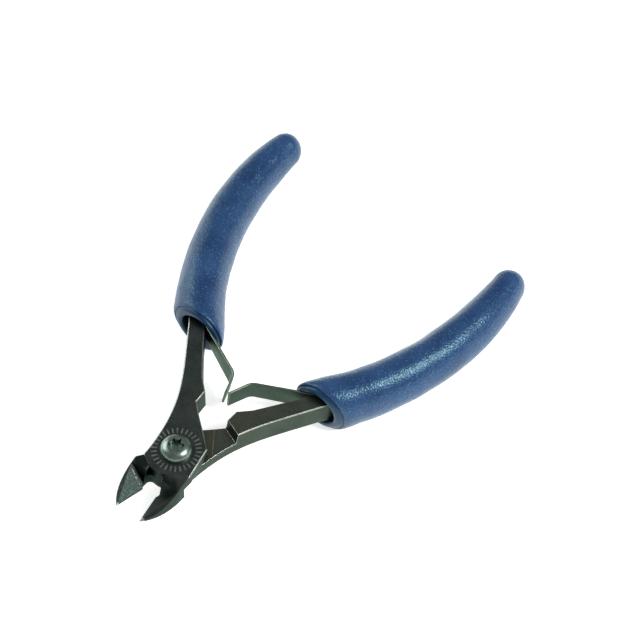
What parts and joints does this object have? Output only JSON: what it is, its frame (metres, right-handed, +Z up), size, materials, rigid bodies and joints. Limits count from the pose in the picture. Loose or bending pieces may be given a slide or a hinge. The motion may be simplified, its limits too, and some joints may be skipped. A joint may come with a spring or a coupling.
{
  "type": "flush cutter",
  "caption": "Small lap-joint flush cutter with tapered jaws, a pivot screw, twin leaf return springs and curved dipped grips.",
  "frame": {"origin": "where the pivot axis leaves the flat underside of the joint", "axes": "+Y from the pivot towards the handles, +Z up the pivot axis on the screw head's side, +X to the right handle"},
  "size_m": [0.0778, 0.1069, 0.015],
  "materials": {
    "dark_steel": "ground and blackened, satin",
    "screw_steel": "satin zinc",
    "spring_steel": "satin",
    "rivet_steel": "satin",
    "grip_liner": "matt dipped vinyl",
    "grip_cover": "pebbled glossy dipped vinyl"
  },
  "bodies": {
    "lower_half": {"lower_half": "dark_steel", "pivot_screw": "screw_steel", "right_spring_base": "spring_steel", "right_spring_rivet": "rivet_steel", "right_grip_liner": "grip_liner", "right_grip_cover": "grip_cover"},
    "upper_half": {"upper_half": "dark_steel", "left_spring_base": "spring_steel", "left_spring_rivet": "rivet_steel", "left_grip_liner": "grip_liner", "left_grip_cover": "grip_cover"},
    "right_leaf": {"right_spring_leaf": "spring_steel"},
    "left_leaf": {"left_spring_leaf": "spring_steel"}
  },
  "joints": [
    {"name": "jaw_pivot", "type": "hinge", "parent": "lower_half", "child": "upper_half", "pos_m": [0, 0, 0], "axis": [0, 0, -1], "range_deg": [0, 20.8], "stiffness_Nm_per_rad": 1, "springref_deg": -8.59},
    {"name": "right_leaf_flex", "type": "hinge", "parent": "lower_half", "child": "right_leaf", "pos_m": [0.01586, 0.03116, 0.00317], "axis": [0, 0, 1], "range_deg": [0, 15.9]},
    {"name": "left_leaf_flex", "type": "hinge", "parent": "upper_half", "child": "left_leaf", "pos_m": [-0.01586, 0.03116, 0.00317], "axis": [0, 0, -1], "range_deg": [0, 11.8]}
  ],
  "couplings": [
    {"joint": "right_leaf_flex", "follows": "jaw_pivot", "ratio": 0.76},
    {"joint": "left_leaf_flex", "follows": "jaw_pivot", "ratio": 0.56}
  ]
}
